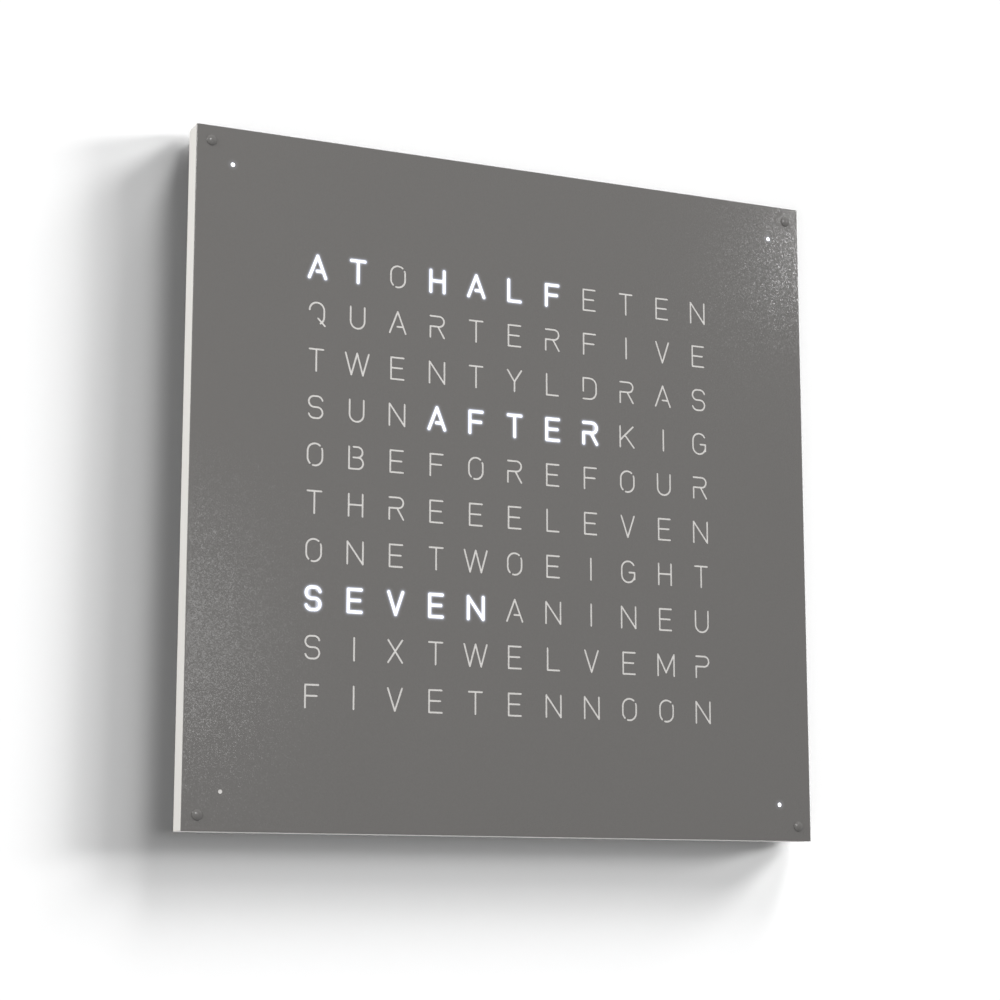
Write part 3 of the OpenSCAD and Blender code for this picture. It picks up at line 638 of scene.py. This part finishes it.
def coat_material(name, roughness, tilt):
    """Powder coat: a dull grey that sparkles, as each grain leans its own way by up to tilt, with a
    painted glow round lit letters and dots.
    """
    coat_grain = 0.6 * mm       # the real grain is 0.2 mm; drawn so that it shows
    coat_patch = 90 * mm
    material, tree, shader, place = start_material(name, {
        "Roughness": roughness, "IOR": 1.5, "Emission Color": linear("#e6ecff")})
    grains = add_node(tree, "TexVoronoi", {"Vector": place, "Scale": 1 / coat_grain})
    patches = add_node(tree, "TexNoise", {"Vector": place, "Scale": 1 / coat_patch, "Detail": 2})
    grey = add_node(tree, "MixRGB", {
        "Fac": patches.outputs["Fac"], "Color1": linear("#666462"), "Color2": linear("#686664")})
    speck = add_node(tree, "MapRange", {
        "Value": grains.outputs["Distance"], "To Min": 1.02, "To Max": 0.98})
    speckled = add_node(tree, "MixRGB", {
        "Fac": 1, "Color1": grey.outputs["Color"], "Color2": speck.outputs["Result"]},
        blend_type="MULTIPLY")
    lean = add_node(tree, "VectorMath", {
        0: grains.outputs["Color"], 1: (0.5, 0.5, 0.5)}, operation="SUBTRACT")
    facing = add_node(tree, "NewGeometry").outputs["Normal"]
    facet = add_node(tree, "VectorMath", {
        0: lean.outputs["Vector"], 1: [2 * tilt] * 3, 2: facing}, operation="MULTIPLY_ADD")
    facet = add_node(tree, "VectorMath", {0: facet.outputs["Vector"]}, operation="NORMALIZE")
    # The glow painted on the coat, read from the mesh; it stands in for light from the lamps behind
    painted_glow = add_node(tree, "Attribute", attribute_name="painted_glow")
    tree.links.new(speckled.outputs["Color"], shader.inputs["Base Color"])
    tree.links.new(facet.outputs["Vector"], shader.inputs["Normal"])
    tree.links.new(painted_glow.outputs["Fac"], shader.inputs["Emission Strength"])
    return material


steel_coat = coat_material("textured_grey_powder_coat", 0.18, math.radians(3.2))
sheet_faces = [f for f, sources in zip(flat_faces, face_sources) if set(sources) <= {0, 1}]
bm = sheet_from(sheet_faces, front_y, rear_y - front_y)
corner_at = (half_face - corner_r) * mm
for v in bm.verts:
    past_corner = Vector((max(abs(v.co.x) - corner_at, 0), max(abs(v.co.z) - corner_at, 0)))
    if past_corner.length > (corner_r - chamfer / 2) * mm:
        v.co.y += chamfer * mm if v.co.y < (front_y + rear_y) / 2 else -chamfer * mm
# Paint the glow on the coat's front: strongest beside the strokes of each lit letter and dot,
# fading to nothing at the last ring
painted_glow_layer = bm.verts.layers.float.new("painted_glow")
for centre, strokes, nib, level in glowing:
    for v in bm.verts:
        spot = Vector((v.co.x, v.co.z)) / mm
        if v.co.y < front_y + chamfer * mm and (spot - centre).length < letter_reach:
            past = min(gap_to(path, spot) for path in strokes) - nib
            fade = max(0.0, 1 - max(past, 0) / painted_glow_rings[-1])
            painted_glow_level = level * fade ** painted_glow_fall + painted_glow_haze * fade
            v[painted_glow_layer] = max(v[painted_glow_layer], painted_glow_level)
stencil = add_piece("stencil_cover", bm, "cover", steel_coat)
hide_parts("front_cover")


# ---- Cover studs ------------------------------------------------------------
# Four turned steel studs, riveted in the cover and held by the magnets behind. The coat
# flows smooth over their domed heads and round the rims.

stud_r = stud_head_r * mm
shank_r = 2 * mm
seat_y = front_y
dome_rise = 1.4 * mm
rim_r = 0.35 * mm
dome_rings = 8
rim_rings = 5
spin_steps = 32
dome_r = (stud_r ** 2 + dome_rise ** 2) / (2 * dome_rise)
dome_y = stud_lo.y + dome_r
# Where the rim's rounding meets the dome, seen from the centre of the dome
rim_y = dome_y - math.sqrt((dome_r - rim_r) ** 2 - (stud_r - rim_r) ** 2)
rim_angle = math.degrees(math.asin((stud_r - rim_r) / (dome_r - rim_r)))
profile = []
for i in range(dome_rings + 1):
    lean = math.radians(rim_angle * i / dome_rings)
    profile.append((dome_r * math.sin(lean), dome_y - dome_r * math.cos(lean)))
for i in range(1, rim_rings + 1):
    lean = math.radians(rim_angle + (90 - rim_angle) * i / rim_rings)
    profile.append((stud_r - rim_r + rim_r * math.sin(lean), rim_y - rim_r * math.cos(lean)))
profile += [(stud_r, seat_y), (shank_r, seat_y), (shank_r, stud_hi.y), (0, stud_hi.y)]
bm = bmesh.new()
for sx, sy in corners:
    middle = Vector((sx * stud_at * mm, 0, sy * stud_at * mm))
    line = [bm.verts.new(middle + Vector((r, y, 0))) for r, y in profile]
    edges = [bm.edges.new(pair) for pair in zip(line, line[1:])]
    bmesh.ops.spin(bm, geom=line + edges, cent=middle, axis=(0, 1, 0), angle=math.tau,
                   steps=spin_steps, use_merge=True)
bmesh.ops.remove_doubles(bm, verts=bm.verts[:], dist=1e-6)
smooth_coat = coat_material("smooth_grey_powder_coat", 0.2, math.radians(0.5))
studs = add_piece("rounded_studs", bm, "cover", smooth_coat)
for face in studs.data.polygons:
    face.use_smooth = face.center.y < seat_y
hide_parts("cover_studs")


# ---- Opal film --------------------------------------------------------------
# A moulded sheet of matt opal acrylic behind the cover, with a disc of it behind each
# minute dot. Letters and dots stand up from it and fill their cuts almost to the front.

letter_recess = 0.3 * mm
film_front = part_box("letter_diffuser")[0].y


def opal_material(name, lit, strength):
    """Opal acrylic: milky and matt, with the light of a lamp behind it painted on as a glow
    wherever that lamp is on.
    """
    opal_cloud = 6 * mm
    matt_grain = 0.6 * mm
    material, tree, shader, place = start_material(name, {
        "Roughness": 0.5, "IOR": 1.49, "Emission Color": linear("#f2f4ff")})
    cloud = add_node(tree, "TexNoise", {"Vector": place, "Scale": 1 / opal_cloud, "Detail": 2})
    milky = add_node(tree, "MixRGB", {
        "Fac": cloud.outputs["Fac"], "Color1": linear("#d6d3d0"), "Color2": linear("#dedcd9")})
    matt = add_node(tree, "TexNoise", {"Vector": place, "Scale": 1 / matt_grain, "Detail": 1})
    matt_bump = add_node(tree, "Bump", {
        "Height": matt.outputs["Fac"], "Strength": 0.1, "Distance": 0.03 * mm})
    # Painted glow: the film emits where its lamp is on, in place of the lamp's light shining
    # through it
    glow = add_node(tree, "Math", {0: lit(tree, place), 1: strength}, operation="MULTIPLY")
    tree.links.new(milky.outputs["Color"], shader.inputs["Base Color"])
    tree.links.new(matt_bump.outputs["Normal"], shader.inputs["Normal"])
    tree.links.new(glow.outputs["Value"], shader.inputs["Emission Strength"])
    return material


letter_opal = opal_material("opal_acrylic_sheet", lit_letters, 1.5)
minute_opal = opal_material("opal_acrylic_disc", lit_minutes, 1.7)
finish_nodes(letter_opal, "letter_diffuser")
finish_nodes(minute_opal, "minute_diffusers")

letter_faces = [f for f, sources in zip(flat_faces, face_sources) if max(sources) >= first_letter]
inlay_front = front_y + letter_recess
bm = sheet_from(letter_faces, inlay_front, film_front - inlay_front)
add_piece("raised_letters", bm, "cover", letter_opal)

dot_loops = set(range(first_dot, first_letter))
dot_faces = [f for f, sources in zip(flat_faces, face_sources) if dot_loops & set(sources)]
bm = sheet_from(dot_faces, inlay_front, film_front - inlay_front)
add_piece("raised_dots", bm, "cover", minute_opal)


# ---- Wall -------------------------------------------------------------------
# The clock hangs on a plain white wall, which shows to the camera from the front only.
# Its paint is dark and its own suns are strong, so that the sky hardly lightens its shadow.

wall_half = 4.0
wall_gap = 0.6 * mm
wall_share = 0.06       # the share of its light that the wall's paint throws back
bm = bmesh.new()
bmesh.ops.create_grid(bm, x_segments=1, y_segments=1, size=wall_half)
for v in bm.verts:
    v.co = Vector((v.co.x, wall_gap, v.co.y))
bmesh.ops.recalc_face_normals(bm, faces=bm.faces[:])
for face in bm.faces:
    if face.normal.y > 0:
        face.normal_flip()
wall_mesh = bpy.data.meshes.new("wall")
bm.to_mesh(wall_mesh)
bm.free()
wall = bpy.data.objects.new("wall", wall_mesh)
bpy.context.scene.collection.objects.link(wall)
wall_paint = bpy.data.materials.new("white_wall_paint")
wall_paint.use_nodes = True
tree = wall_paint.node_tree
tree.nodes.remove(tree.nodes["Principled BSDF"])
paint = add_node(tree, "BsdfDiffuse", {"Color": (wall_share, wall_share, wall_share, 1)})
clear = add_node(tree, "BsdfTransparent")
path = add_node(tree, "LightPath").outputs
behind = add_node(tree, "NewGeometry").outputs["Backfacing"]
seen = add_node(tree, "Math", {0: path["Is Camera Ray"], 1: behind}, operation="SUBTRACT")
seen.use_clamp = True
shown = add_node(tree, "MixShader", {
    "Fac": seen.outputs["Value"], 1: clear.outputs["BSDF"], 2: paint.outputs["BSDF"]})
tree.links.new(shown.outputs["Shader"], tree.nodes["Material Output"].inputs["Surface"])
wall_mesh.materials.append(wall_paint)


# ---- Light ------------------------------------------------------------------
# A white studio: an even sky over a dimmer floor, soft boxes for the object alone, and
# suns for the wall alone, three of them low at the upper right for the shadow's long fade.

world = bpy.data.worlds.new("studio")
bpy.context.scene.world = world
world.use_nodes = True
tree = world.node_tree
sky_level = 0.74
floor_share = 0.14
floor_edge, sky_edge = -0.5, 0.1    # heights of direction between which floor turns to sky
path = add_node(tree, "LightPath").outputs
direct = add_node(tree, "Math", {
    0: path["Is Camera Ray"], 1: path["Is Glossy Ray"]}, operation="MAXIMUM")
direct = add_node(tree, "Math", {
    0: direct.outputs["Value"], 1: path["Is Transmission Ray"]}, operation="MAXIMUM")
way = add_node(tree, "TexCoord").outputs["Generated"]
up = add_node(tree, "SeparateXYZ", {"Vector": way}).outputs["Z"]
even = add_node(tree, "MapRange", {
    "Value": up, "From Min": floor_edge, "From Max": sky_edge,
    "To Min": sky_level * floor_share, "To Max": sky_level})
level = add_node(tree, "MapRange", {
    "Value": direct.outputs["Value"], "To Min": even.outputs["Result"], "To Max": 1.0})
sky = tree.nodes["Background"]
sky.inputs["Color"].default_value = linear("#ffffff")
tree.links.new(level.outputs["Result"], sky.inputs["Strength"])

wall_only = bpy.data.collections.new("wall_only")
wall_only.objects.link(wall)
all_but_wall = bpy.data.collections.new("all_but_wall")
all_but_wall.objects.link(wall)
all_but_wall.collection_objects[0].light_linking.link_state = "EXCLUDE"


def add_light(name, kind, toward, receivers, **settings):
    """Adds a lamp that shines along a direction, on the given receivers alone."""
    data = bpy.data.lights.new(name, kind)
    for key, value in settings.items():
        setattr(data, key, value)
    lamp = bpy.data.objects.new(name, data)
    lamp.rotation_euler = Vector(toward).to_track_quat("-Z", "Y").to_euler()
    lamp.light_linking.receiver_collection = receivers
    bpy.context.scene.collection.objects.link(lamp)
    return lamp


def add_soft_box(name, at, aim, size, level):
    """A square soft box that gives a surface at its aim that share of full light."""
    way = Vector(aim) - Vector(at)
    lamp = add_light(name, "AREA", way, all_but_wall, size=size,
                     energy=level * math.pi ** 2 * way.length_squared)
    lamp.location = at


def add_wall_sun(name, height, turn, width, share):
    """A sun at a height over the wall's plane, turned from the right towards up."""
    height, turn = math.radians(height), math.radians(turn)
    toward = (-math.cos(height) * math.cos(turn), math.sin(height),
              -math.cos(height) * math.sin(turn))
    add_light(name, "SUN", toward, wall_only, angle=math.radians(width),
              energy=share * math.pi / (wall_share * math.sin(height)))


# Height over the wall, turn and width in degrees, and share of the wall's light
add_wall_sun("right_sun", 14.5, 12.3, 10.7, 0.25)
add_wall_sun("middle_sun", 13.8, 36.8, 18.5, 0.31)
add_wall_sun("upper_sun", 15.1, 70.1, 18.2, 0.18)
add_wall_sun("high_sun", 52.2, 16.4, 42.4, 0.16)
add_wall_sun("lower_left_sun", 32.6, 214.2, 49.2, 0.13)
# Place, aim and size in metres, and share of full light
add_soft_box("corner_glint_box", (0.622, -0.50, 0.392), (0.245, -0.02, 0.205), 0.065, 0.115)
add_soft_box("left_glint_box", (-0.07, -0.78, -0.012), (-0.265, -0.02, -0.094), 0.15, 0.052)
add_soft_box("upper_box", (-0.8, -2.68, 1.12), (0, 0, 0), 0.45, 0.37)
add_soft_box("left_box", (-1.5, -0.5, 0.9), (-0.2, 0, 0.1), 0.5, 0.28)
add_soft_box("rear_box", (1.3, 1.7, 0.6), (0, 0, 0), 1.2, 0.2)


# ---- Camera -----------------------------------------------------------------
# It stands low on the viewer's left and looks up at the clock, as in the photograph. Its
# place, turn and lens were solved from the four corners of the face.

tilt_up = 10.04
turn_right = 25.05
camera_data = bpy.data.cameras.new("camera")
camera_data.sensor_width = 36
camera_data.lens = 85.57
camera = bpy.data.objects.new("camera", camera_data)
camera.location = (-0.6667, -1.4234, -0.27875)
camera.rotation_euler = (math.radians(90 + tilt_up), 0, math.radians(-turn_right))
bpy.context.scene.collection.objects.link(camera)
bpy.context.scene.camera = camera
bpy.context.scene.view_settings.view_transform = "Standard"
